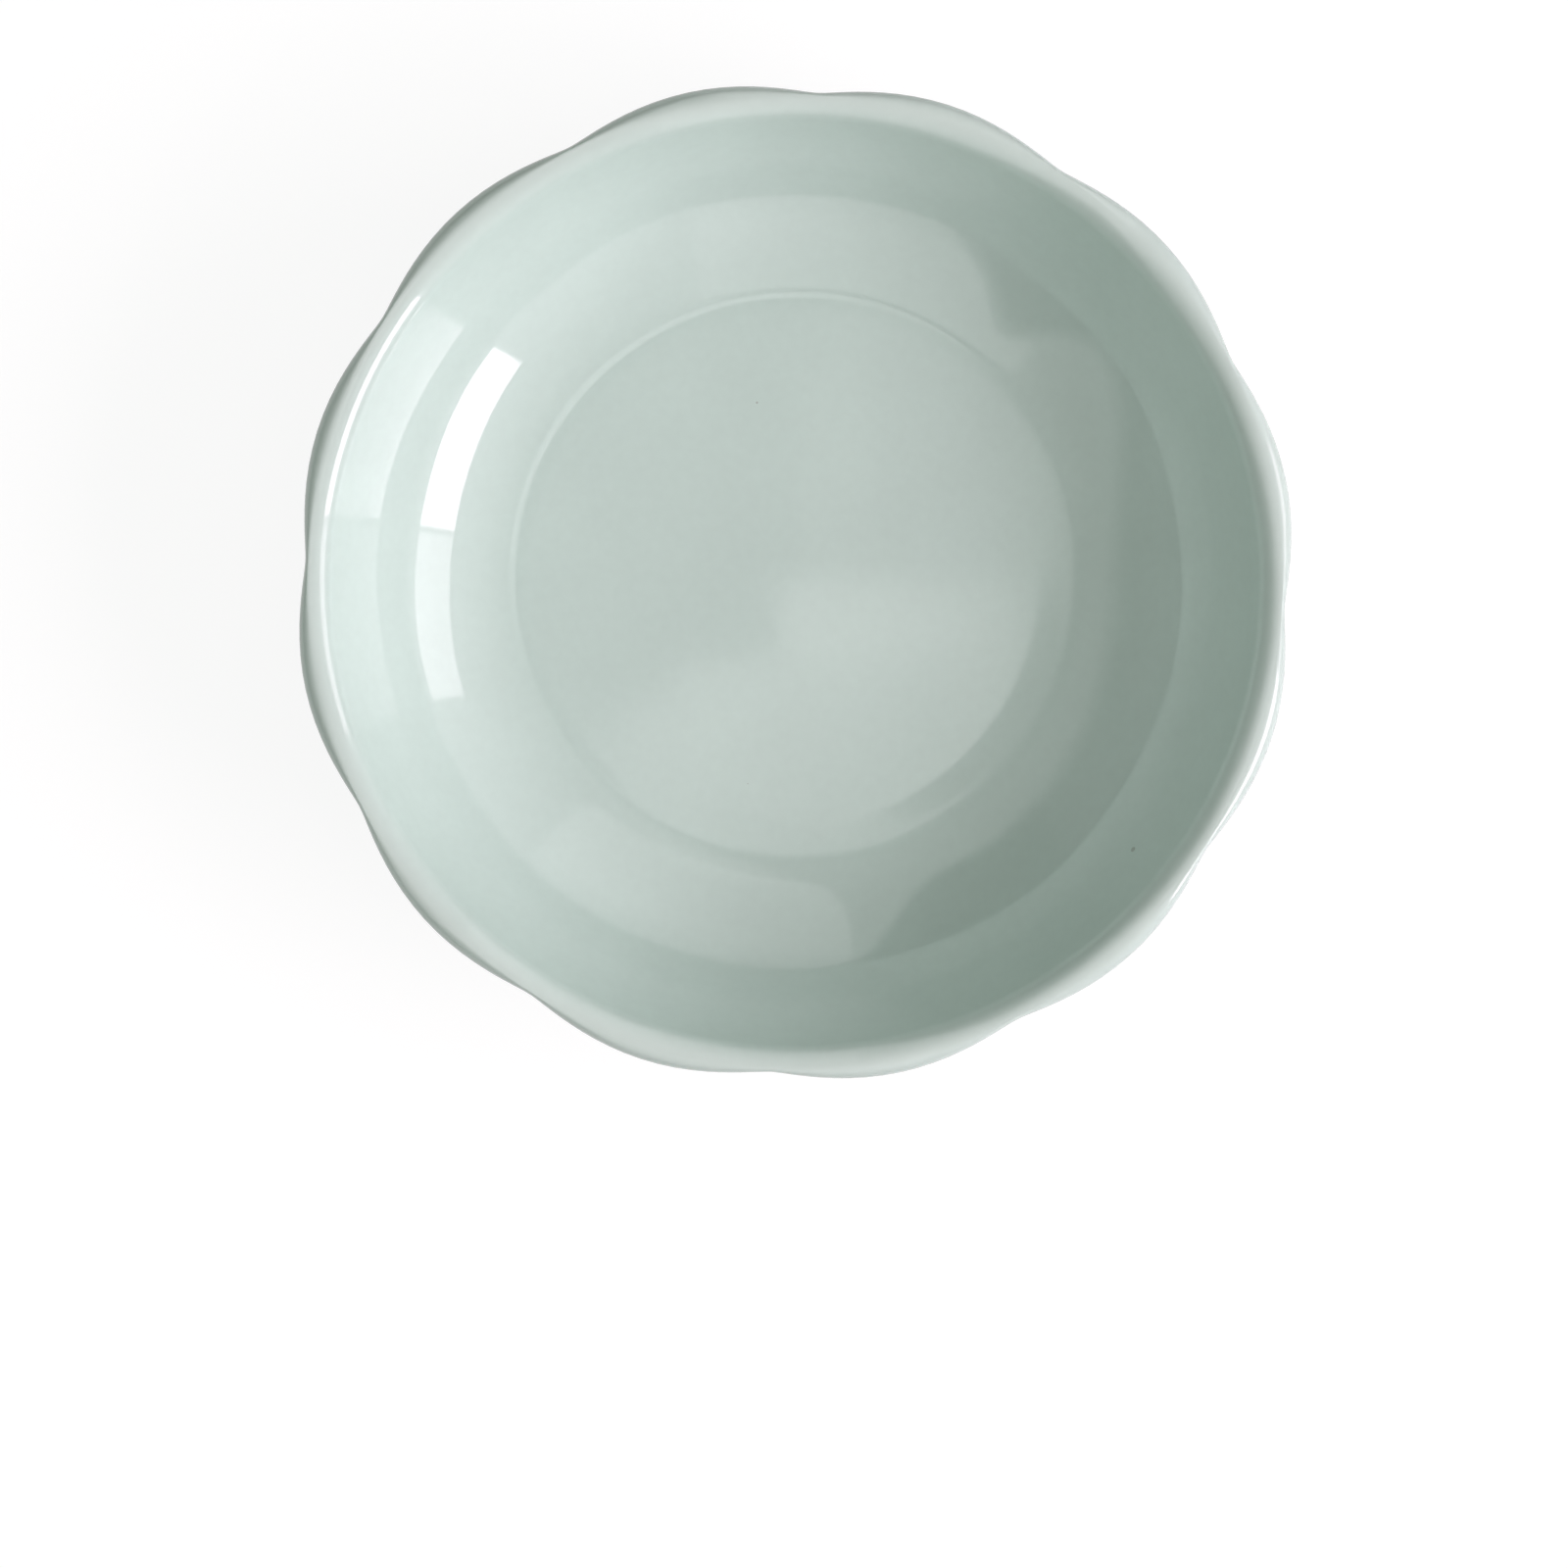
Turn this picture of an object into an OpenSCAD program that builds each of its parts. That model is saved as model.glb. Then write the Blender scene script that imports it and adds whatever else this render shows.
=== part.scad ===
// Soy sauce dish: a small round celadon dish with a smooth bowl inside, twelve soft lobes
// pressed into the outside of its wall, and a low foot ring.
// The origin is on the table under the dish's centre, +Z is up and +X points at a lobe's crest.
// Radii are those of a lobe's crest: the creases between the lobes lie deeper.

/* [Rim] */
// Diameter over the crests of the lobes
rim_d = 102; // [90:1:115]
// Height of the dish
dish_h = 22.7; // [20:0.1:26]
// Radius of the lip's rounding on the outside
lip_out_round = 1.7; // [1.5:0.1:2]
// Radius of the lip's rounding on the inside
lip_in_round = 2.34; // [1.8:0.02:2.8]

/* [Lobes] */
// Number of lobes round the wall
lobe_count = 12; // [8:1:16]
// Depth of the creases at the rim
rim_crease = 1.17; // [0.5:0.01:1.3]
// Depth of the creases where the wall meets the foot
foot_crease = 0.35; // [0.1:0.05:0.6]
// Softness of the creases at the rim, where 0 is a sharp fold
rim_softness = 0.12; // [0.04:0.01:0.4]
// Softness of the creases at the foot
foot_softness = 0.06; // [0.04:0.01:0.4]

/* [Bowl] */
// How far inside the wall's foot, seen from above, the bowl's floor begins
floor_inset = 4.1; // [3.4:0.1:6]
// Width of the shallow ring in which the floor's glaze pools
ring_w = 2.4; // [1.6:0.1:3]
// Depth of that ring
ring_depth = 0.12; // [0.05:0.01:0.2]
// Thickness of the floor, with the glaze on both its faces
floor_t = 3.1; // [2.4:0.1:4]

/* [Foot] */
// Diameter of the foot ring where the wall springs from it
foot_top_d = 69.4; // [60:0.2:78]
// How far the foot ring's side draws in from there to its standing edge
foot_lean = 2.1; // [1:0.1:3]
// Height at which the wall springs from the foot ring
foot_h = 3.45; // [3:0.05:4.5]
// Width of the foot ring over its standing edge
foot_w = 3; // [2.4:0.1:4]
// Radius of the wiped edges on both sides of the standing face
foot_round = 0.45; // [0.3:0.05:0.7]
// Depth of the hollow under the floor
recess_depth = 2.4; // [1.6:0.1:2.6]

/* [Glaze] */
// Thickness of the fired glaze
glaze_t = 0.35; // [0.2:0.05:0.5]
// Radius of the glaze pooled in the corner of the hollow under the floor
pool_round = 1.2; // [0.8:0.1:1.6]

/* [Hidden] */

glaze_green = [0.70, 0.79, 0.76];
glaze_pale = [0.76, 0.83, 0.80];
glaze_deep = [0.62, 0.72, 0.68];
clay_white = [0.86, 0.84, 0.79];
clay_buff = [0.80, 0.76, 0.69];

// The lobed surfaces have this many facets on each lobe, and the curves this many points
lobe_facets = 8;
facets = lobe_count * lobe_facets;
wall_points = 14;
lip_points = 6;
ring_points = 6;
edge_points = 4;
pool_points = 6;
$fn = 96;
// The step that finds a curve's direction, as a share of the way between two of its points
nudge_share = 0.125;

// A true circle that fits inside a circle of flat facets is smaller by this share
inner_share = cos(180 / facets);

rim_r = rim_d / 2;
lip_top_r = rim_r - lip_out_round;
foot_top_r = foot_top_d / 2;
foot_r = foot_top_r - foot_lean;
foot_in_r = foot_r - foot_w;
floor_edge_r = foot_top_r - floor_inset;
floor_r = floor_edge_r - ring_w;
floor_z = recess_depth + floor_t;
joint_z = recess_depth + glaze_t;
// How far a cutting shape runs past the surface that it cuts
overrun = glaze_t * 4;

// Slopes of the wall's curves where they start and end, in degrees from level
out_foot_slope = 33;
out_rim_slope = 79;
in_floor_slope = 7;
in_rim_slope = 70;
// Lengths of the curves' handles, as shares of the straight line between their ends
out_handle_shares = [0.34, 0.47];
in_handle_shares = [0.44, 0.30];
// The way the glaze faces where it turns from the foot ring's side on to the wall
joint_slope = 60;
// The clay's lip is cut flat on top, this share of the inner rounding wide
lip_flat_share = 0.25;

// The point at a distance from another, in a direction given as a slope
function along(point, slope, distance) = point + distance * [cos(slope), sin(slope)];

// A cubic curve between two points, each with its slope and its handle as a share of the span
function curve_point(a, slope_a, b, slope_b, shares, t) =
    let (
        span = norm(b - a),
        p = along(a, slope_a, span * shares[0]),
        q = along(b, slope_b, -span * shares[1]),
        u = 1 - t
    )
    u * u * u * a + 3 * u * u * t * p + 3 * u * t * t * q + t * t * t * b;

// How deep the crease is at an angle, from 0 on a crest to 1 at the bottom of a crease
function crease(angle, softness) =
    let (
        c = cos(angle * lobe_count / 2),
        e = softness
    )
    1 - (sqrt(c * c + e * e) - e) / (sqrt(1 + e * e) - e);

// One level of a lobed surface from its radius, height, crease depth and softness
function level_points(level) = [
    for (i = [0 : facets - 1])
        let (
            angle = 360 * i / facets,
            r = level[0] - level[2] * crease(angle, level[3])
        )
        [r * cos(angle), r * sin(angle), level[1]]
];

// The outside, from the glaze's edge on the foot to the top of the lip.
// Each level is a radius, a height, a crease depth, a softness and the direction that faces out.
foot_slope = atan2(foot_h - foot_round, foot_top_r - foot_r);
function foot_side_r(z) = foot_r + (z - foot_round) / tan(foot_slope);
out_start = [foot_top_r, foot_h];
out_end = [lip_top_r, dish_h - lip_out_round]
    + lip_out_round * [sin(out_rim_slope), -cos(out_rim_slope)];

function out_point(t) =
    curve_point(out_start, out_foot_slope, out_end, out_rim_slope, out_handle_shares, t);

function out_normal(t) =
    let (
        step = nudge_share / wall_points,
        way = out_point(min(1, t + step)) - out_point(max(0, t - step))
    )
    [way[1], -way[0]] / norm(way);

function wall_level(t) =
    let (
        p = out_point(t),
        fade = pow(1 - t, 3),
        depth = rim_crease + (foot_crease - rim_crease) * fade,
        softness = rim_softness + (foot_softness - rim_softness) * (1 - t)
    )
    [p[0], p[1], depth, softness, t == 0 ? [sin(joint_slope), -cos(joint_slope)] : out_normal(t)];

function lip_level(slope) =
    let (
        facing = [sin(slope), -cos(slope)],
        p = [lip_top_r, dish_h - lip_out_round] + lip_out_round * facing
    )
    [p[0], p[1], rim_crease * (slope < 90 ? 1 : sin(slope)), rim_softness, facing];

foot_levels = [
    for (z = [foot_round, joint_z])
        [foot_side_r(z), z, 0, rim_softness, [1, 0]]
];
wall_levels = [
    for (i = [0 : wall_points])
        wall_level(i / wall_points)
];
lip_levels = [
    for (i = [1 : lip_points])
        lip_level(out_rim_slope + (180 - out_rim_slope) * i / lip_points)
];
glaze_levels = concat(foot_levels, wall_levels, lip_levels);

// The clay's own surface lies one coat of glaze inside the glaze's
clay_levels = [
    for (level = glaze_levels)
        [level[0] - glaze_t * level[4][0], level[1] - glaze_t * level[4][1], level[2], level[3]]
];
body_levels = [
    for (i = [1 : len(clay_levels) - 1])
        clay_levels[i]
];

// The inside, as an outline from the axis to the lip at a depth below the glaze's surface
in_start = [floor_edge_r, floor_z];
in_end = [lip_top_r, dish_h - lip_in_round]
    + lip_in_round * [-sin(in_rim_slope), cos(in_rim_slope)];

function in_point(t) =
    curve_point(in_start, in_floor_slope, in_end, in_rim_slope, in_handle_shares, t);

function in_normal(t) =
    let (
        step = nudge_share / wall_points,
        way = in_point(min(1, t + step)) - in_point(max(0, t - step))
    )
    [-way[1], way[0]] / norm(way);

function floor_outline(depth) = concat(
    [[0, floor_z - depth]],
    [
        for (i = [0 : ring_points - 1])
            let (t = i / ring_points)
            [floor_r + ring_w * t, floor_z - depth - ring_depth * (1 - cos(360 * t)) / 2]
    ]
);

function wall_outline(depth) = [
    for (i = [0 : wall_points])
        let (t = i / wall_points)
        in_point(t) - depth * in_normal(t)
];

function in_lip_outline(depth, last_slope) = [
    for (i = [1 : lip_points])
        let (
            slope = in_rim_slope + (last_slope - in_rim_slope) * i / lip_points,
            r = lip_in_round - depth
        )
        [lip_top_r - r * sin(slope), dish_h - lip_in_round + r * cos(slope)]
];

lip_flat_slope = asin(lip_flat_share);
glaze_outline = concat(floor_outline(0), wall_outline(0), in_lip_outline(0, 0));
clay_outline = concat(
    floor_outline(glaze_t),
    wall_outline(glaze_t),
    in_lip_outline(glaze_t, lip_flat_slope)
);
clay_top_z = dish_h - glaze_t;
lip_edge_r = lip_top_r * inner_share;

// Faces between neighbouring levels, seen from outside
function band_faces(count, wraps) = [
    for (i = [0 : count - (wraps ? 1 : 2)], j = [0 : facets - 1])
        let (
            a = i * facets,
            b = (i + 1) % count * facets,
            k = (j + 1) % facets
        )
        each [[a + j, b + j, b + k], [a + j, b + k, a + k]]
];

// A solid stacked from levels, with a flat base and a flat top
module stacked(levels) {
    count = len(levels);
    base = [for (j = [0 : facets - 1]) j];
    top = [for (j = [facets - 1 : -1 : 0]) (count - 1) * facets + j];
    polyhedron(
        points = [for (level = levels) each level_points(level)],
        faces = concat([base], band_faces(count, false), [top])
    );
}

// A ring-shaped shell whose levels go up its outer face and down its inner face
module wrapped(levels) {
    polyhedron(
        points = [for (level = levels) each level_points(level)],
        faces = band_faces(len(levels), true)
    );
}

// The thrown clay: floor and lobed wall in one, level underneath to take the foot ring
module clay_body() {
    color(clay_white)
    difference() {
        stacked(body_levels);
        rotate_extrude()
        polygon(concat(
            clay_outline,
            [
                along(clay_outline[len(clay_outline) - 1], lip_flat_slope, overrun),
                [0, dish_h + overrun]
            ]
        ));
    }
}

// One side of the standing edge: a quarter circle from the standing face up to the ring's side
function standing_edge(r, turn) = [
    for (i = [0 : edge_points])
        let (angle = 90 * i / edge_points)
        [r - turn * foot_round * (1 - sin(angle)), foot_round * (1 - cos(angle))]
];

ring_out_r = (foot_r - glaze_t) * inner_share;
ring_top_r = (foot_side_r(joint_z) - glaze_t) * inner_share;
ring_in_r = foot_in_r + glaze_t;
function reversed(list) = [for (i = [len(list) - 1 : -1 : 0]) list[i]];

// The foot ring: a coil of clay fixed under the body, wiped bare where it stands
module foot_ring() {
    color(clay_buff)
    rotate_extrude()
    polygon(concat(
        standing_edge(ring_out_r, 1),
        [[ring_top_r, joint_z], [ring_in_r, joint_z]],
        reversed(standing_edge(ring_in_r, -1))
    ));
}

// The glaze over the floor and the inside of the wall, as far as the top of the lip
module inside_glaze() {
    color(glaze_pale)
    rotate_extrude()
    polygon(concat(
        [for (p = glaze_outline) p == glaze_outline[len(glaze_outline) - 1] ? [lip_edge_r, p[1]] : p],
        [[lip_edge_r, clay_top_z]],
        reversed(clay_outline)
    ));
}

// The glaze over the lobes, from the top of the lip down to the foot ring's standing edge
module outside_glaze() {
    color(glaze_green)
    wrapped(concat(glaze_levels, reversed(clay_levels)));
}

// The glaze in the hollow under the floor, pooled in its corner
module base_glaze() {
    pool_z = joint_z - glaze_t - pool_round;
    color(glaze_deep)
    rotate_extrude()
    polygon(concat(
        [
            [0, joint_z],
            [ring_in_r, joint_z],
            [ring_in_r, foot_round],
            [foot_in_r, foot_round]
        ],
        [
            for (i = [0 : pool_points])
                let (angle = 90 * i / pool_points)
                [foot_in_r - pool_round * (1 - cos(angle)), pool_z + pool_round * sin(angle)]
        ],
        [[0, joint_z - glaze_t]]
    ));
}

clay_body();
foot_ring();
inside_glaze();
outside_glaze();
base_glaze();
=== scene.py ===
"""A soy sauce dish in celadon glaze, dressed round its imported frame.

The dish is built in the order in which a potter makes it: the clay body, the foot ring, the coat
of glaze over the bowl and the lobes, and the glaze in the hollow under the floor. The table, the
room, the lights, the dark board and the camera follow. Lengths are in metres, slopes and
directions in degrees.
"""
import math

import bpy
import numpy as np
from mathutils import Matrix, Vector


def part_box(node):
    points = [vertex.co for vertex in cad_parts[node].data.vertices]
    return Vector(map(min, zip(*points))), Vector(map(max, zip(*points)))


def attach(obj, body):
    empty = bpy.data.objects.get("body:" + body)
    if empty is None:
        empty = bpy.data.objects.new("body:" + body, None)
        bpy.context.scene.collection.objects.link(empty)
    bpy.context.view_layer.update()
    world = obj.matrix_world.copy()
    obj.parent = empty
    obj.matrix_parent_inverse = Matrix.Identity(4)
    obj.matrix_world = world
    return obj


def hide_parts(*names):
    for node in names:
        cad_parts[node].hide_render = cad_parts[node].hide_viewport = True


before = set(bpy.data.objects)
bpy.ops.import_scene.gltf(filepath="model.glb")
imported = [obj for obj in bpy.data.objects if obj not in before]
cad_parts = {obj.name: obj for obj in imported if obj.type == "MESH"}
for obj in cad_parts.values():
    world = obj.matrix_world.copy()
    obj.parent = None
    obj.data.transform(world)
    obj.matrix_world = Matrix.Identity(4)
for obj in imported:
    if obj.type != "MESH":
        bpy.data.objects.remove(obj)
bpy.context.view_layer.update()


# The clay body: floor and lobed wall, jiggered in one piece from pale stoneware clay.
# Glaze covers all of it but the joint that takes the foot ring, so the frame's own solid
# stays and only gets the look of fired clay.
body_colour, body_grain, body_relief = (0.66, 0.62, 0.54, 1), 3500.0, 0.00003
clay_roughness = 0.86


def fresh_material(name):
    """A new material, with its node tree and its shader."""
    material = bpy.data.materials.new(name)
    material.use_nodes = True
    tree = material.node_tree
    return material, tree, tree.nodes["Principled BSDF"]


def add(tree, kind, links=(), **settings):
    """Adds a node: settings go to its properties or, by socket name, to its inputs; links are
    pairs of an input and the output that feeds it."""
    node = tree.nodes.new(kind)
    for key, value in settings.items():
        if hasattr(node, key):
            setattr(node, key, value)
        else:
            node.inputs[key.replace("_", " ")].default_value = value
    for socket, source in links:
        tree.links.new(source, node.inputs[socket])
    return node


def new_group(name, inputs, outputs):
    """A shader node group with the given sockets, and its nodes for what goes in and out."""
    group = bpy.data.node_groups.new(name, "ShaderNodeTree")
    for label, kind, value in inputs:
        socket = group.interface.new_socket(label, in_out="INPUT", socket_type=kind)
        socket.default_value = value
    for label, kind in outputs:
        group.interface.new_socket(label, in_out="OUTPUT", socket_type=kind)
    return group, group.nodes.new("NodeGroupInput"), group.nodes.new("NodeGroupOutput")


def clay_grain_group():
    """Fired clay: fine sand grain over a slow drift of tone, as a colour and a height."""
    group, given, result = new_group(
        "clay_grain",
        [("Clay", "NodeSocketColor", (0.6, 0.56, 0.5, 1)), ("Grain", "NodeSocketFloat", 4000.0)],
        [("Color", "NodeSocketColor"), ("Height", "NodeSocketFloat")],
    )
    place = add(group, "ShaderNodeTexCoord").outputs["Object"]
    sand = add(
        group, "ShaderNodeTexNoise",
        [("Vector", place), ("Scale", given.outputs["Grain"])],
        Detail=3.0, Roughness=0.6,
    )
    drift = add(group, "ShaderNodeTexNoise", [("Vector", place)], Scale=90.0, Detail=2.0)
    tone = add(
        group, "ShaderNodeMapRange", [("Value", drift.outputs["Fac"])],
        To_Min=0.93, To_Max=1.06,
    )
    fleck = add(
        group, "ShaderNodeMapRange", [("Value", sand.outputs["Fac"])],
        From_Min=0.3, From_Max=0.7, To_Min=0.94, To_Max=1.05,
    )
    shade = add(
        group, "ShaderNodeMath",
        [(0, tone.outputs["Result"]), (1, fleck.outputs["Result"])], operation="MULTIPLY",
    )
    tinted = add(
        group, "ShaderNodeVectorMath",
        [(0, given.outputs["Clay"]), ("Scale", shade.outputs[0])], operation="SCALE",
    )
    group.links.new(tinted.outputs["Vector"], result.inputs["Color"])
    group.links.new(sand.outputs["Fac"], result.inputs["Height"])
    return group


clay_grain = clay_grain_group()


def bare_clay(name, colour, grain, relief):
    """Matt fired clay in one colour, with its grain in the colour and in the relief."""
    material, tree, shader = fresh_material(name)
    look = add(tree, "ShaderNodeGroup", node_tree=clay_grain)
    look.inputs["Clay"].default_value = colour
    look.inputs["Grain"].default_value = grain
    bump = add(
        tree, "ShaderNodeBump", [("Height", look.outputs["Height"])],
        Strength=0.6, Distance=relief,
    )
    tree.links.new(look.outputs["Color"], shader.inputs["Base Color"])
    tree.links.new(bump.outputs["Normal"], shader.inputs["Normal"])
    shader.inputs["Roughness"].default_value = clay_roughness
    return material


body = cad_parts["clay_body"]
body.data.materials.clear()
body.data.materials.append(bare_clay("body_clay", body_colour, body_grain, body_relief))


# The foot ring: a low ring of the same clay, turned under the body while it was leather-hard.
# Its sides are glazed and its standing face is wiped bare, a little sanded and toasted
# where the glaze stops.
joint_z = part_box("foot_ring")[1].z
glaze_t = 0.00035
edge_r = 0.00045
foot_r = 0.0326
foot_top_r = 0.0347
foot_h = 0.00345
foot_w = 0.003
ring_in_r = foot_r - foot_w + glaze_t
foot_lean = (foot_top_r - foot_r) / (foot_h - edge_r)
foot_colour, foot_grain, foot_relief = (0.64, 0.58, 0.49, 1), 5200.0, 0.00004
turned_steps = 240


def arc(centre, radius, start, stop, count):
    """Points on a circle in the profile's plane, from one angle to another in degrees."""
    angle = np.radians(np.linspace(start, stop, count))
    return np.array(centre) + radius * np.stack([np.cos(angle), np.sin(angle)], axis=1)


def turned(profile):
    """A surface of revolution: each (radius, height) of the profile carried round the axis."""
    angle = np.linspace(0, 2 * math.pi, turned_steps, endpoint=False)
    radius, height = profile[:, :1], profile[:, 1:]
    return np.stack([radius * np.cos(angle), radius * np.sin(angle), height + 0 * angle], axis=-1)


def skin(name, rings, poles=None):
    """A closed mesh over rings of points, each an array of places round the axis.

    Point j of ring i joins point j + 1 and ring i + 1, and the last point of a ring joins its
    first. Without poles the last ring joins the first ring; with them each end closes in a fan
    round its pole. The rings run so that the outward side lies to the left of their path."""
    count, around = rings.shape[:2]
    points = rings.reshape(-1, 3)
    spans = count if poles is None else count - 1
    i, j = np.meshgrid(np.arange(spans), np.arange(around), indexing="ij")
    k = (j + 1) % around
    low, high = i * around, (i + 1) % count * around
    quads = np.stack([low + j, high + j, high + k, low + k], axis=-1)
    faces = quads.reshape(-1, 4).tolist()
    if poles is not None:
        j, k = j[0], k[0]
        first, last = len(points), len(points) + 1
        far = (count - 1) * around
        points = np.vstack([points, poles])
        faces += np.stack([np.full(around, first), j, k], axis=1).tolist()
        faces += np.stack([far + j, np.full(around, last), far + k], axis=1).tolist()
    mesh = bpy.data.meshes.new(name)
    mesh.from_pydata(points.tolist(), [], faces)
    mesh.polygons.foreach_set("use_smooth", np.ones(len(mesh.polygons), bool))
    mesh.update()
    piece = bpy.data.objects.new(name, mesh)
    bpy.context.scene.collection.objects.link(piece)
    return piece


def side_r(z):
    """Radius of the glaze over the foot ring's leaning side at a height."""
    return foot_r + (z - edge_r) * foot_lean


foot_side_z = np.linspace(joint_z, edge_r, 6)[:-1]
foot_profile = np.vstack([
    [[ring_in_r, joint_z]],
    np.stack([side_r(foot_side_z) - glaze_t, foot_side_z], axis=1),
    arc((foot_r - glaze_t - edge_r, edge_r), edge_r, 0, -90, 9),
    arc((ring_in_r + edge_r, edge_r), edge_r, -90, -180, 9),
    [[ring_in_r, (edge_r + joint_z) / 2]],
])
foot = skin("foot_ring_clay", turned(foot_profile))
foot.data.materials.append(bare_clay("foot_clay", foot_colour, foot_grain, foot_relief))
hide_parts("foot_ring")
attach(foot, "root")


# The glaze: one coat of glossy celadon, poured over the bowl, the lip, the lobes and the foot
# ring's side. It stands thin and pale on the lip, pools a little deeper in the ring round the
# floor, in the creases between the lobes and in the corner over the foot ring.
rim_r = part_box("outside_glaze")[1].x
top_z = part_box("outside_glaze")[1].z
lip_out, lip_in = 0.0017, 0.00234
lip_out_slope, lip_in_slope = 79, 70
lip_r = rim_r - lip_out
floor_z = 0.0055
floor_edge = 0.0306
flat_r, floor_sag = 0.017, 0.0002
pool_w, pool_depth = 0.0024, 0.00002
wall_slope, wall_shares, wall_rows = 7, (0.44, 0.30), 70
outer_slope, outer_shares, outer_rows, outer_crowding = 33, (0.34, 0.47), 64, 0.95
bend_share, bend_reach, bend_rows = 0.03, 0.0009, 18

lobes = 12
rim_crease, foot_crease = 0.00117, 0.00035
rim_soft, foot_soft = 0.12, 0.06
lobe_steps, crowding = 26, 0.75


def heading(slope):
    """The step of length 1 along a slope in degrees."""
    return np.array([math.cos(math.radians(slope)), math.sin(math.radians(slope))])


def swept(a, slope_a, b, slope_b, shares, t):
    """A cubic curve from a to b. It leaves and arrives at the given slopes, in degrees, with
    handles that are shares of the straight way between them."""
    a, b = np.array(a), np.array(b)
    span = np.linalg.norm(b - a)
    p = a + span * shares[0] * heading(slope_a)
    q = b - span * shares[1] * heading(slope_b)
    t = t[:, None]
    u = 1 - t
    return u**3 * a + 3 * u * u * t * p + 3 * u * t * t * q + t**3 * b


def ramp(x, start, stop):
    """A straight change from 0 at the start to 1 at the stop, level beyond both. The stop may
    be the smaller of the two."""
    return np.clip((x - start) / (stop - start), 0, 1)


def mound(x, width):
    """A bell that is 1 where x is 0 and has fallen to about a third at the width each way."""
    return np.exp(-((x / width) ** 2))


def softened(values, width):
    """Each value averaged with its neighbours over an odd width in values, under the weights of
    a raised cosine."""
    weights = np.hanning(width + 2)[1:-1]
    padded = np.pad(values, width // 2, mode="edge")
    return np.convolve(padded, weights / weights.sum(), mode="valid")


def crease(angle, softness):
    """Depth of the crease from 0 on a lobe's crest to 1 at its bottom: the lobe's arch is a
    cosine's size, and its fold is rounded off by the softness."""
    c = np.cos(angle * lobes / 2)
    full = np.sqrt(1 + softness**2) - softness
    return 1 - (np.sqrt(c * c + softness**2) - softness) / full


# The angles round the dish lie closer together at the creases than on the crests
lobe_place = np.arange(lobes * lobe_steps) / lobe_steps
crowded = crowding * np.sin(2 * math.pi * lobe_place) / (2 * math.pi)
angles = 2 * math.pi / lobes * (lobe_place + crowded)

# The profile in its parts, as (radius, height): the lip's inner and outer rounding, then the
# inner wall, which rises from the floor's edge
lip_in_arc = arc((lip_r, top_z - lip_in), lip_in, 90 + lip_in_slope, 90, 22)
lip_out_arc = arc((lip_r, top_z - lip_out), lip_out, 90, lip_out_slope - 90, 26)
wall_part = swept(
    [floor_edge, floor_z], wall_slope, lip_in_arc[0], lip_in_slope, wall_shares,
    np.linspace(0, 1, wall_rows),
)

# The floor is slightly dished, with a ring round it. It runs into the wall softly, as glaze
# rounds every bend: the heights at each tenth of a millimetre are averaged over 2.5 mm
fine_step, soft_width = 0.0001, 25
soft_to, soft_none = 0.0318, 0.0348
fine_r = np.arange(361) * fine_step
sag = floor_sag * (1 - ramp(fine_r, flat_r, floor_edge) ** 2)
ring_turn = 2 * math.pi * ramp(fine_r, floor_edge - pool_w, floor_edge)
fine_z = floor_z - sag - pool_depth * (1 - np.cos(ring_turn)) / 2
on_wall = fine_r > floor_edge
fine_z[on_wall] = np.interp(fine_r[on_wall], wall_part[:, 0], wall_part[:, 1])
fine_z += (softened(fine_z, soft_width) - fine_z) * ramp(fine_r, soft_none, soft_to)
bowl_r = np.concatenate([np.linspace(0.0008, 0.024, 28), np.arange(0.0242, 0.0355, 0.0002)])
bowl_part = np.stack([bowl_r, np.interp(bowl_r, fine_r, fine_z)], axis=1)
wall_part = wall_part[wall_part[:, 0] > bowl_r[-1] + fine_step]

# The outer wall comes down from the lip, each row at its share of the way up from the foot
outer_share = 1 - np.linspace(0, 1 - bend_share, outer_rows) ** outer_crowding
outer_part = swept(
    [foot_top_r, foot_h], outer_slope, lip_out_arc[-1], lip_out_slope, outer_shares, outer_share
)

# Glaze fills the corner over the foot ring in a soft bend between the wall and the ring's side,
# and stops in a thin bead where the ring is wiped bare
bend_start = outer_part[-1]
wall_way = outer_part[-1] - outer_part[-2]
side_way = np.array([foot_top_r - foot_r, foot_h - edge_r])
bend_stop = np.array([foot_top_r, foot_h]) - bend_reach * side_way / np.linalg.norm(side_way)
run, _ = np.linalg.solve(np.stack([wall_way, side_way], axis=1), bend_stop - bend_start)
bend_corner = bend_start + run * wall_way
q = np.linspace(0, 1, bend_rows)[1:, None]
bend_part = (1 - q) ** 2 * bend_start + 2 * q * (1 - q) * bend_corner + q * q * bend_stop
side_z = np.linspace(bend_stop[1], edge_r + 0.0002, 10)[1:]
side_part = np.stack([side_r(side_z), side_z], axis=1)
bead_part = [foot_r, edge_r] + np.array([[-0.00005, 0.00002], [-0.0002, -0.00002]])

# The lobes: how deep their creases are in each row of the outside, and how softly they fold
inside = np.vstack([bowl_part, wall_part, lip_in_arc[1:]])
lip_part = lip_out_arc[1:-1]
outside = np.vstack([lip_part, outer_part, bend_part, side_part, bead_part])
on_lip = np.ones(len(lip_part))
on_foot = np.zeros(len(side_part) + len(bead_part))
up_share = np.concatenate([on_lip, outer_share, outer_share[-1] * (1 - q[:, 0]), on_foot])
bend_fade = (1 + np.cos(math.pi * q[:, 0])) / 2
fade = np.concatenate([on_lip, np.ones(len(outer_part)), bend_fade, on_foot])
depth = fade * (rim_crease + (foot_crease - rim_crease) * (1 - up_share) ** 3)
depth[: len(lip_part)] = rim_crease * ramp(lip_part[:, 0], lip_r, lip_r + lip_out)
soft = rim_soft + (foot_soft - rim_soft) * (1 - up_share)

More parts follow.
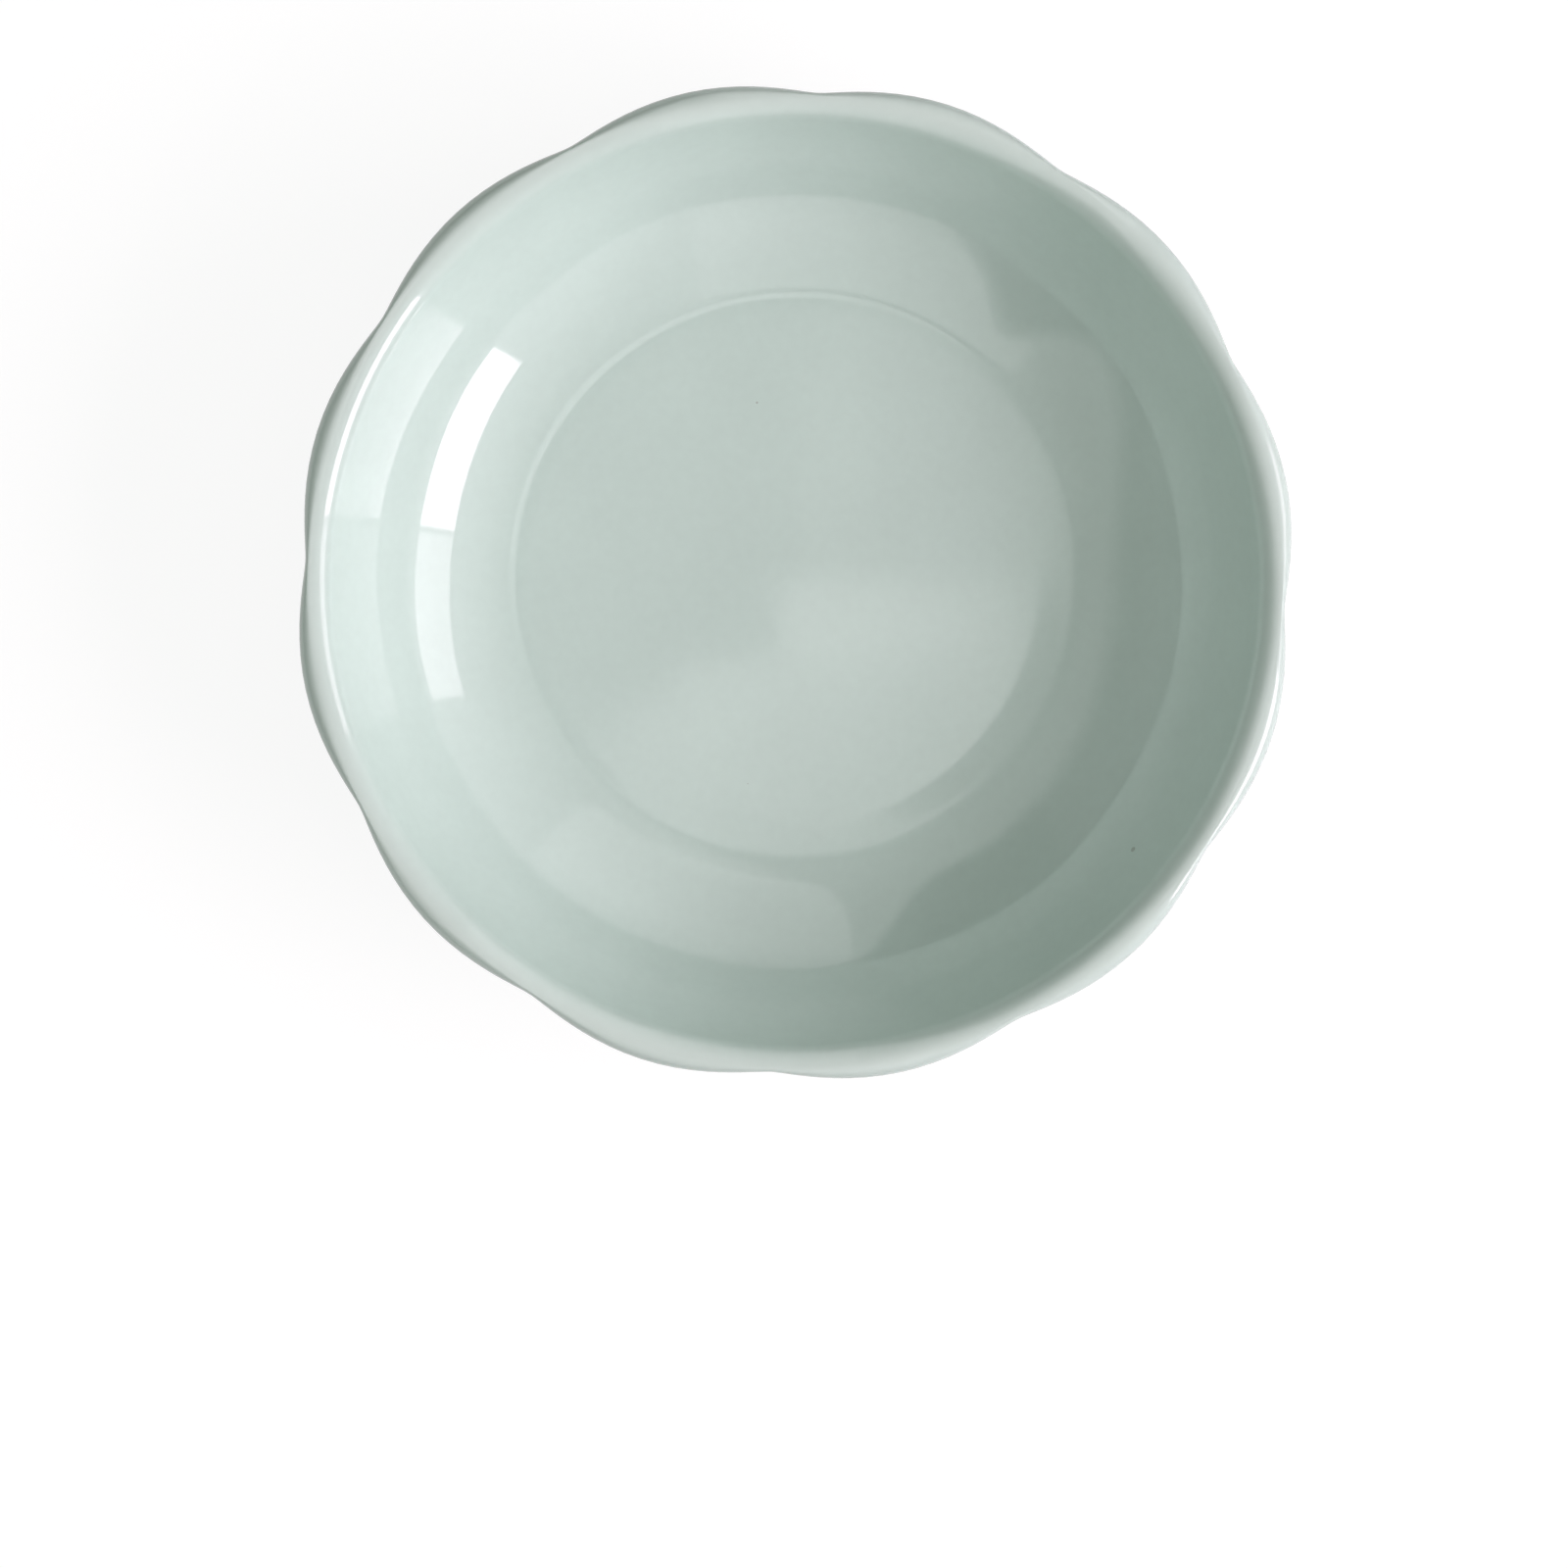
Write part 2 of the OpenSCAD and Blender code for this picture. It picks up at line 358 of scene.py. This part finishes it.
# The coat's back follows its face at the glaze's thickness, in fewer rows
profile = np.vstack([inside, outside])
depth = np.concatenate([np.zeros(len(inside)), depth])
soft = np.concatenate([np.full(len(inside), rim_soft), soft])
way = np.gradient(profile, axis=0)
normal = np.stack([-way[:, 1], way[:, 0]], axis=1) / np.linalg.norm(way, axis=1)[:, None]
back_rows = np.linspace(len(profile) - 1, 0, 30).astype(int)
rows = np.vstack([profile, profile[back_rows] - glaze_t * normal[back_rows]])
row_normal = np.vstack([normal, normal[back_rows]])
row_depth = np.concatenate([depth, depth[back_rows]])[:, None]
row_soft = np.concatenate([soft, soft[back_rows]])[:, None]

# The throwing left the inside a little uneven, with fine ripples and a floor that swells
# towards one side, which the reflections show
wave_h, wave_length = 0.00003, 0.021
ripple_h, ripple_length = 0.0000014, 0.0023
swell_h, swell_side = 0.00022, -47
swell_r = np.array([0.018, 0.021, 0.024, 0.026, 0.030, 0.031, 0.033, 0.035])
swell_share = np.array([0, 0.03, 0.11, 0.27, 1, 1, 0.4, 0])
inside_r = inside[:, 0]
along = np.concatenate([[0], np.cumsum(np.hypot(*np.diff(inside, axis=0).T))])
turns = 2 * math.pi * along[:, None] / wave_length
waves = np.sin(5 * angles + 0.7) * np.cos(turns + 1.1)
waves = waves + 0.6 * np.sin(9 * angles + 2.1) * np.sin(1.6 * turns)
below_lip = ramp(inside_r, 0.0465, 0.0425)
uneven = wave_h * (ramp(inside_r, 0.0315, 0.0355) * below_lip)[:, None] * waves
ripples = ripple_h * np.sin(2 * math.pi * along / ripple_length) * below_lip
swell = softened(np.interp(fine_r, swell_r, swell_share), soft_width)
high_side = np.cos((angles - math.radians(swell_side)) / 2) ** 8
lift = np.zeros((len(rows), len(angles)))
lift[: len(inside)] = uneven + ripples[:, None]
lift[: len(bowl_r)] += swell_h * np.interp(bowl_r, fine_r, swell)[:, None] * high_side

fold = crease(angles[None, :], row_soft)
radius = rows[:, :1] - row_depth * fold + lift * row_normal[:, :1]
height = rows[:, 1:] + lift * row_normal[:, 1:]
rings = np.stack([radius * np.cos(angles), radius * np.sin(angles), height], axis=-1)
middle_z = floor_z - floor_sag
coat = skin("celadon_coat", rings, poles=[[0, 0, middle_z], [0, 0, middle_z - glaze_t]])

# How deep the glaze has pooled and how thin it has run, kept with each point of the mesh
ring_pool, corner_pool, crease_pool = 0.18, 0.8, 0.7
corner_w, thin_w = 0.0011, 0.0013
ring_top_z = floor_z + 0.0004
row_r, row_z = rows.T
in_ring = mound(row_r - floor_edge + 0.3 * pool_w, 0.36 * pool_w) * (row_z < ring_top_z)
in_corner = mound(np.hypot(row_r - foot_top_r, row_z - foot_h), corner_w)
in_crease = np.clip(row_depth / rim_crease, 0, 1) * fold**3
pooled = (ring_pool * in_ring + corner_pool * in_corner)[:, None] + crease_pool * in_crease
thin = mound(np.hypot(row_r - lip_r, row_z - top_z), thin_w)[:, None] * np.ones_like(fold)
for label, values in (("pooled", pooled), ("thin", thin)):
    at_points = np.append(np.clip(values, 0, 1).ravel(), [0, 0]).astype(np.float32)
    layer = coat.data.attributes.new(label, "FLOAT", "POINT")
    layer.data.foreach_set("value", at_points)

# The colour sockets of a mix node go by number: what lies under, what lies over, the result
mix_under, mix_over, mix_result = 6, 7, 2
glaze_colour, fleck_colour = (0.550, 0.667, 0.616, 1), (0.16, 0.13, 0.09, 1)
glaze_ior = 1.62
cells_bare, fleck_strength = 0.965, 0.4
glaze_layers = (
    ("pooled", (0.35, 0.49, 0.43, 1), 0.5),
    ("thin", (0.65, 0.73, 0.685, 1), 0.42),
)


def scaled(tree, source, share):
    """A value times a share that is the same all over."""
    node = add(tree, "ShaderNodeMath", [(0, source)], operation="MULTIPLY")
    node.inputs[1].default_value = share
    return node.outputs[0]


def glaze_flecks_group():
    """Glaze at arm's length: slow cloudy drift of tone, fine mottling, and rare iron flecks."""
    group, given, result = new_group(
        "glaze_flecks",
        [("Glaze", "NodeSocketColor", (0.5, 0.6, 0.55, 1)),
         ("Fleck", "NodeSocketColor", (0.1, 0.08, 0.06, 1))],
        [("Color", "NodeSocketColor"), ("Height", "NodeSocketFloat"),
         ("Cloud", "NodeSocketFloat")],
    )
    place = add(group, "ShaderNodeTexCoord").outputs["Object"]
    cloud = add(group, "ShaderNodeTexNoise", [("Vector", place)], Scale=60.0, Detail=3.0)
    mottle = add(group, "ShaderNodeTexNoise", [("Vector", place)], Scale=900.0, Detail=3.0)
    slow = add(
        group, "ShaderNodeMapRange", [("Value", cloud.outputs["Fac"])],
        From_Min=0.3, From_Max=0.7, To_Min=0.975, To_Max=1.025,
    )
    fine = add(
        group, "ShaderNodeMapRange", [("Value", mottle.outputs["Fac"])],
        From_Min=0.3, From_Max=0.7, To_Min=0.988, To_Max=1.012,
    )
    tone = add(
        group, "ShaderNodeMath",
        [(0, slow.outputs["Result"]), (1, fine.outputs["Result"])], operation="MULTIPLY",
    )
    tinted = add(
        group, "ShaderNodeVectorMath",
        [(0, given.outputs["Glaze"]), ("Scale", tone.outputs[0])], operation="SCALE",
    )
    # Few of the cells hold a fleck, and each fleck has a size of its own
    cells = add(group, "ShaderNodeTexVoronoi", [("Vector", place)], Scale=210.0)
    split = add(group, "ShaderNodeSeparateColor", [("Color", cells.outputs["Color"])])
    chosen = add(group, "ShaderNodeMath", [(0, split.outputs["Red"])], operation="GREATER_THAN")
    chosen.inputs[1].default_value = cells_bare
    size = add(
        group, "ShaderNodeMapRange", [("Value", split.outputs["Green"])],
        To_Min=0.03, To_Max=0.075,
    )
    dot = add(
        group, "ShaderNodeMath",
        [(0, cells.outputs["Distance"]), (1, size.outputs["Result"])], operation="LESS_THAN",
    )
    there = add(
        group, "ShaderNodeMath",
        [(0, chosen.outputs[0]), (1, dot.outputs[0])], operation="MULTIPLY",
    )
    mixed = add(
        group, "ShaderNodeMix",
        [("Factor", scaled(group, there.outputs[0], fleck_strength)),
         (mix_under, tinted.outputs["Vector"]), (mix_over, given.outputs["Fleck"])],
        data_type="RGBA",
    )
    group.links.new(mixed.outputs[mix_result], result.inputs["Color"])
    group.links.new(mottle.outputs["Fac"], result.inputs["Height"])
    group.links.new(cloud.outputs["Fac"], result.inputs["Cloud"])
    return group


glaze_flecks = glaze_flecks_group()


def celadon(name, layers=()):
    """Glossy grey-green glaze. Where the mesh's own layers say so, it is deeper in its pools and
    paler where it has run thin."""
    material, tree, shader = fresh_material(name)
    look = add(tree, "ShaderNodeGroup", node_tree=glaze_flecks)
    look.inputs["Glaze"].default_value = glaze_colour
    look.inputs["Fleck"].default_value = fleck_colour
    colour = look.outputs["Color"]
    for label, tint, strength in layers:
        kept = add(tree, "ShaderNodeAttribute", attribute_name=label)
        amount = scaled(tree, kept.outputs["Fac"], strength)
        blend = add(
            tree, "ShaderNodeMix", [("Factor", amount), (mix_under, colour)], data_type="RGBA"
        )
        blend.inputs[mix_over].default_value = tint
        colour = blend.outputs[mix_result]
    bump = add(
        tree, "ShaderNodeBump", [("Height", look.outputs["Height"])],
        Strength=0.12, Distance=0.00001,
    )
    gloss = add(
        tree, "ShaderNodeMapRange", [("Value", look.outputs["Cloud"])],
        To_Min=0.035, To_Max=0.075,
    )
    tree.links.new(colour, shader.inputs["Base Color"])
    tree.links.new(bump.outputs["Normal"], shader.inputs["Normal"])
    tree.links.new(gloss.outputs["Result"], shader.inputs["Roughness"])
    shader.inputs["IOR"].default_value = glaze_ior
    return material


coat.data.materials.append(celadon("celadon_glaze", glaze_layers))
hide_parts("inside_glaze", "outside_glaze")
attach(coat, "root")


# The glaze in the hollow under the floor: the same celadon, poured in after the bowl was
# glazed, pooled round in its corner and stopped at the ring's bare edge.
pool_r = 0.0012
hollow_r = ring_in_r - glaze_t
hollow_z = joint_z - glaze_t
near_axis = 0.001
hollow_floor_r = np.linspace(hollow_r - pool_r, near_axis, 14)[1:]
hollow_profile = np.vstack([
    [[near_axis, joint_z], [ring_in_r, joint_z], [ring_in_r, edge_r]],
    arc((hollow_r + glaze_t / 2, edge_r + glaze_t / 2), glaze_t / 2, -90, -180, 5),
    arc((hollow_r - pool_r, hollow_z - pool_r), pool_r, 0, 90, 14),
    np.stack([hollow_floor_r, np.full_like(hollow_floor_r, hollow_z)], axis=1),
])
hollow = skin("hollow_glaze", turned(hollow_profile), poles=[[0, 0, joint_z], [0, 0, hollow_z]])
hollow.data.materials.append(celadon("hollow_celadon"))
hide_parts("base_glaze")
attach(hollow, "root")


# The table: a plain pale sheet, white to the camera and in reflections, that keeps the dish's
# shadow and throws only a little light back up. From below it isn't there, so that the
# underside can be looked at.
table_half, table_gap = 60.0, 0.00003
near_r, far_r = 0.15, 0.75
paint_near, paint_far = 0.20, 0.0
glow_near, glow_far = 0.86, 1.0


def seen_directly(tree):
    """1 for the rays of the camera, of reflections and of transmission, and 0 for the rest."""
    path = add(tree, "ShaderNodeLightPath")
    first = add(
        tree, "ShaderNodeMath",
        [(0, path.outputs["Is Camera Ray"]), (1, path.outputs["Is Glossy Ray"])],
        operation="MAXIMUM",
    )
    either = add(
        tree, "ShaderNodeMath",
        [(0, first.outputs[0]), (1, path.outputs["Is Transmission Ray"])], operation="MAXIMUM",
    )
    return either.outputs[0]


def switched(tree, factor, first, second, surface):
    """Joins a surface to one shader where the factor is 0 and to another where it is 1."""
    switch = add(tree, "ShaderNodeMixShader", [(0, factor), (1, first), (2, second)])
    tree.links.new(switch.outputs[0], surface)


table_mesh = bpy.data.meshes.new("table")
table_corners = [
    (-table_half, -table_half, -table_gap), (table_half, -table_half, -table_gap),
    (table_half, table_half, -table_gap), (-table_half, table_half, -table_gap),
]
table_mesh.from_pydata(table_corners, [], [(0, 1, 2, 3)])
table = bpy.data.objects.new("table", table_mesh)
bpy.context.scene.collection.objects.link(table)
table_paint, tree, shader = fresh_material("table_white")
place = add(tree, "ShaderNodeTexCoord")
away = add(tree, "ShaderNodeVectorMath", [(0, place.outputs["Object"])], operation="LENGTH")
far = add(
    tree, "ShaderNodeMapRange", [("Value", away.outputs["Value"])],
    interpolation_type="SMOOTHSTEP", From_Min=near_r, From_Max=far_r,
)
paint = add(
    tree, "ShaderNodeMapRange", [("Value", far.outputs["Result"])],
    To_Min=paint_near, To_Max=paint_far,
)
glow = add(
    tree, "ShaderNodeMapRange", [("Value", far.outputs["Result"])],
    To_Min=glow_near, To_Max=glow_far,
)
seen_glow = add(
    tree, "ShaderNodeMath",
    [(0, glow.outputs["Result"]), (1, seen_directly(tree))], operation="MULTIPLY",
)
shader.inputs["Roughness"].default_value = 1.0
shader.inputs["Specular IOR Level"].default_value = 0.0
shader.inputs["Emission Color"].default_value = (1, 1, 1, 1)
tree.links.new(paint.outputs["Result"], shader.inputs["Base Color"])
tree.links.new(seen_glow.outputs[0], shader.inputs["Emission Strength"])
side = add(tree, "ShaderNodeNewGeometry")
clear = add(tree, "ShaderNodeBsdfTransparent")
surface = tree.nodes["Material Output"].inputs["Surface"]
switched(tree, side.outputs["Backfacing"], shader.outputs[0], clear.outputs[0], surface)
table_mesh.materials.append(table_paint)


# The room: an even soft light from every side, a little stronger from overhead. The camera and
# the reflections see plain white in its place.
sky_level, sky_overhead = 0.255, 0.325
sky_colour = (0.97, 1, 0.93, 1)
world = bpy.data.worlds.new("room")
bpy.context.scene.world = world
world.use_nodes = True
tree = world.node_tree
place = add(tree, "ShaderNodeTexCoord")
split = add(tree, "ShaderNodeSeparateXYZ", [("Vector", place.outputs["Generated"])])
climb = add(tree, "ShaderNodeMath", [(0, split.outputs["Z"])], operation="MAXIMUM")
climb.inputs[1].default_value = 0
square = add(
    tree, "ShaderNodeMath", [(0, climb.outputs[0]), (1, climb.outputs[0])], operation="MULTIPLY"
)
strength = add(
    tree, "ShaderNodeMapRange", [("Value", square.outputs[0])],
    To_Min=sky_level, To_Max=sky_overhead,
)
sky = tree.nodes["Background"]
sky.inputs["Color"].default_value = sky_colour
tree.links.new(strength.outputs["Result"], sky.inputs["Strength"])
white = add(tree, "ShaderNodeBackground", Color=(1, 1, 1, 1), Strength=1.0)
surface = tree.nodes["World Output"].inputs["Surface"]
switched(tree, seen_directly(tree), sky.outputs[0], white.outputs[0], surface)


# The lights: a tall window of two panes to the right of the picture, one brighter than the
# other, and soft light from the rest of the room. Stretches of ceiling and two tall gleams show
# as pale patches in the glaze.
picture_turn = math.radians(-12.2)
camera_off = (0.0054, 0.0091)
camera_z = 0.352
wall_away = 1.0
ceiling_z = 1.5


def in_picture(right, up):
    """A place along the picture's right and up, as x and y of the frame."""
    cos_turn, sin_turn = math.cos(picture_turn), math.sin(picture_turn)
    return right * cos_turn - up * sin_turn, right * sin_turn + up * cos_turn


def panel(name, centre, turn, tilt, width, height, radiance, tint=(1, 1, 1)):
    """A flat rectangular light of the given radiance and tint. Its centre is in metres along the
    picture's right and up and over the table; turn is where it stands, as seen from the dish, and
    tilt turns its face from level to straight down, both in degrees."""
    data = bpy.data.lights.new(name, "AREA")
    data.shape = "RECTANGLE"
    data.size, data.size_y = width, height
    data.energy = radiance * math.pi * width * height
    data.color = tint
    lamp = bpy.data.objects.new(name, data)
    bpy.context.scene.collection.objects.link(lamp)
    lamp.location = (*in_picture(*centre[:2]), centre[2])
    spin = math.radians(turn) + picture_turn + math.pi / 2
    lamp.rotation_euler = (math.radians(90 - tilt), 0, spin)
    lamp.visible_camera = False
    return lamp


def upright(name, facing, sides, heights, radiance, tint=(1, 1, 1), away=wall_away):
    """An upright panel that fills a stretch of directions as seen from the dish, from side to
    side in degrees from the picture's right, and in height in degrees from level."""
    near, far = (away * math.tan(math.radians(side - facing)) for side in sides)
    low, high = (away * math.tan(math.radians(height)) for height in heights)
    turn = math.radians(facing)
    aside = (near + far) / 2
    centre = (
        away * math.cos(turn) - aside * math.sin(turn),
        away * math.sin(turn) + aside * math.cos(turn),
        floor_z + (low + high) / 2,
    )
    return panel(name, centre, facing, 0, far - near, high - low, radiance, tint)


def overhead(name, x_from, x_to, y_from, y_to, radiance):
    """A level panel over the dish. Its edges are the slopes, along the picture's right and up, at
    which the camera sees them mirrored in the dish's floor."""
    path = camera_z + ceiling_z - 2 * floor_z
    centre = (
        camera_off[0] + path * (x_from + x_to) / 2,
        camera_off[1] + path * (y_from + y_to) / 2,
        ceiling_z,
    )
    width, length = path * (x_to - x_from), path * (y_to - y_from)
    return panel(name, centre, -90, 90, width, length, radiance)


window_facing, window_heights = -11.3, (15, 42)
upright("window_bright", window_facing, (-39.6, -10.5), window_heights, 8.4, (1, 0.86, 0.95))
upright("window_dim", window_facing, (-9.5, 17), window_heights, 2.95, (1, 0.89, 0.97))

# These light the dish and don't show in its glaze
window_soft = upright("window_soft", 4, (-16, 20), (12, 45), 2.7, (1, 0.95, 1))
window_soft.visible_glossy = False
fill_half = 28
for name, facing, heights, radiance in (
    ("room_near", 240, (40, 78), 0.34),
    ("room_far", 60, (40, 78), 0.34),
    ("room_right", 0, (40, 78), 0.32),
    ("low_left", 180, (5, 40), 0.37),
    ("low_near", 240, (5, 40), 0.42),
):
    fill = upright(name, facing, (facing - fill_half, facing + fill_half), heights, radiance)
    fill.visible_glossy = False

# The ceiling's far stretch is laid in four sheets, so that its left side fades out
ceiling_right = 0.066
for edge in (-0.013, -0.005, 0.003, 0.011):
    overhead("ceiling_far", edge, ceiling_right, -0.0266, 0.20, 0.5)
overhead("ceiling_middle", -0.021, ceiling_right, -0.051, -0.0266, 1.5)
overhead("ceiling_near", -0.053, ceiling_right, -0.10, -0.051, 1.1)

# The gleams show in the glaze and don't light it, and fade towards their feet in four sheets
gleam_feet, gleam_top = (8, 13, 19, 26), 78
for name, facing, sides, radiance in (
    ("gleam_near", 255, (225, 285), 0.7),
    ("gleam_far", 73, (46, 100), 0.8),
):
    for sheet, foot_height in enumerate(gleam_feet):
        gleam = upright(
            name, facing, sides, (foot_height, gleam_top), radiance / len(gleam_feet),
            away=wall_away + 0.01 * sheet,
        )
        gleam.visible_diffuse = False


# The dark board: a black card round the left of the dish, out of the picture, that only the
# glaze shows. Its upper edge fades out to white. Each pair below is a direction from the
# picture's right and how high the edge stands there, from level.
board_edge = np.array([
    [90, 3], [101, 8], [109, 40], [116, 60], [123, 61], [133, 55], [141, 58], [150, 60],
    [165, 63], [180, 63], [190, 61], [198, 50], [206, 32], [213, 16], [219, 10], [229, 56],
    [234, 50], [239, 22], [245, 6],
])
board_steps = 120
board_foot, board_least = 1, 1.5
board_az = np.linspace(board_edge[0, 0], board_edge[-1, 0], board_steps)
board_el = softened(np.interp(board_az, board_edge[:, 0], board_edge[:, 1]), 7)
board_fade = 5 + 5 * ramp(board_az, 122, 137)
board_heights = np.stack([
    np.full(board_steps, board_foot),
    np.maximum(board_el - board_fade, board_least),
    board_el + board_fade,
])
board_turn = np.radians(board_az) + picture_turn + 0 * board_heights
board_points = np.stack(
    [np.cos(board_turn), np.sin(board_turn), np.tan(np.radians(board_heights))], axis=-1
).reshape(-1, 3)
i, j = np.meshgrid(np.arange(2), np.arange(board_steps - 1), indexing="ij")
corner = i * board_steps + j
board_faces = np.stack(
    [corner, corner + 1, corner + board_steps + 1, corner + board_steps], axis=-1
).reshape(-1, 4)
board_mesh = bpy.data.meshes.new("dark_board")
board_mesh.from_pydata(board_points.tolist(), [], board_faces.tolist())
board_pale = 0.2 * ramp(board_az, 134, 140)
layer = board_mesh.attributes.new("pale", "FLOAT", "POINT")
at_points = np.concatenate([board_pale, board_pale, np.ones(board_steps)])
layer.data.foreach_set("value", at_points.astype(np.float32))
board = bpy.data.objects.new("dark_board", board_mesh)
bpy.context.scene.collection.objects.link(board)
board_paint, tree, shader = fresh_material("board_black")
pale = add(tree, "ShaderNodeAttribute", attribute_name="pale")
shader.inputs["Base Color"].default_value = (0.02, 0.02, 0.02, 1)
shader.inputs["Roughness"].default_value = 1.0
shader.inputs["Specular IOR Level"].default_value = 0.0
shader.inputs["Emission Color"].default_value = (1, 1, 1, 1)
tree.links.new(pale.outputs["Fac"], shader.inputs["Emission Strength"])
board_mesh.materials.append(board_paint)
board.visible_camera = False
board.visible_diffuse = False
board.visible_shadow = False


# The camera: over the dish, a little off its axis and aimed at the middle of its rim, with the
# dish high in the frame. Pixels are those of the 1600 pixel picture.
picture = 1600
dish_px = (810.2, 596.1)
crest_px = 511.6
widest_z = top_z - lip_out
aim = Vector((-camera_off[0], -camera_off[1], widest_z - camera_z))
lens_px = crest_px * aim.length / rim_r
camera_data = bpy.data.cameras.new("camera")
camera_data.sensor_width = 36.0
camera_data.lens = lens_px * camera_data.sensor_width / picture
camera_data.clip_start, camera_data.clip_end = 0.01, 20
camera_data.shift_x = (picture / 2 - dish_px[0]) / picture
camera_data.shift_y = (dish_px[1] - picture / 2) / picture
camera = bpy.data.objects.new("camera", camera_data)
bpy.context.scene.collection.objects.link(camera)
camera.location = (*in_picture(*camera_off), camera_z)
leaning = Vector((0, 0, -1)).rotation_difference(aim).to_matrix()
camera.rotation_euler = (Matrix.Rotation(picture_turn, 3, "Z") @ leaning).to_euler()
bpy.context.scene.camera = camera
bpy.context.scene.view_settings.view_transform = "Standard"
